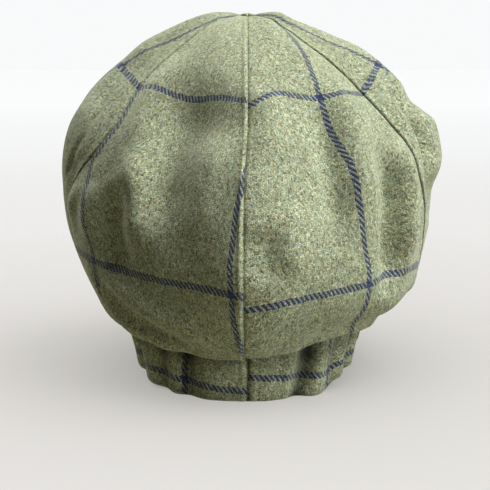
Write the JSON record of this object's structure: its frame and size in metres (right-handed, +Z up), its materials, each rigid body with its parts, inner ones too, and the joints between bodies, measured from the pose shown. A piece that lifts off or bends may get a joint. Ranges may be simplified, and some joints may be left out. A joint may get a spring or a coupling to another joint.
{
  "type": "baker boy cap",
  "caption": "Full tweed cap with puffed crown panels, a band gathered by elastic at the back, a stiff peak and a covered button.",
  "frame": {"origin": "middle of the cap's footprint, on the surface it rests on", "axes": "+Z up; the peak points along -Y and the gathered back of the band faces +Y; the wearer's left is +X"},
  "size_m": [0.2496, 0.2772, 0.2344],
  "materials": {
    "tweed": "green melange twill with a navy windowpane check",
    "tweed_peak": "the same tweed over a stiff board, stitched along its edge"
  },
  "bodies": {
    "root": {"crown_back_left": "tweed", "crown_back_right": "tweed", "crown_side_left": "tweed", "crown_side_right": "tweed", "crown_front_left": "tweed", "crown_front_right": "tweed", "band_back_left": "tweed", "band_back_right": "tweed", "band_front": "tweed", "peak": "tweed_peak", "top_button": "tweed"}
  },
  "joints": []
}
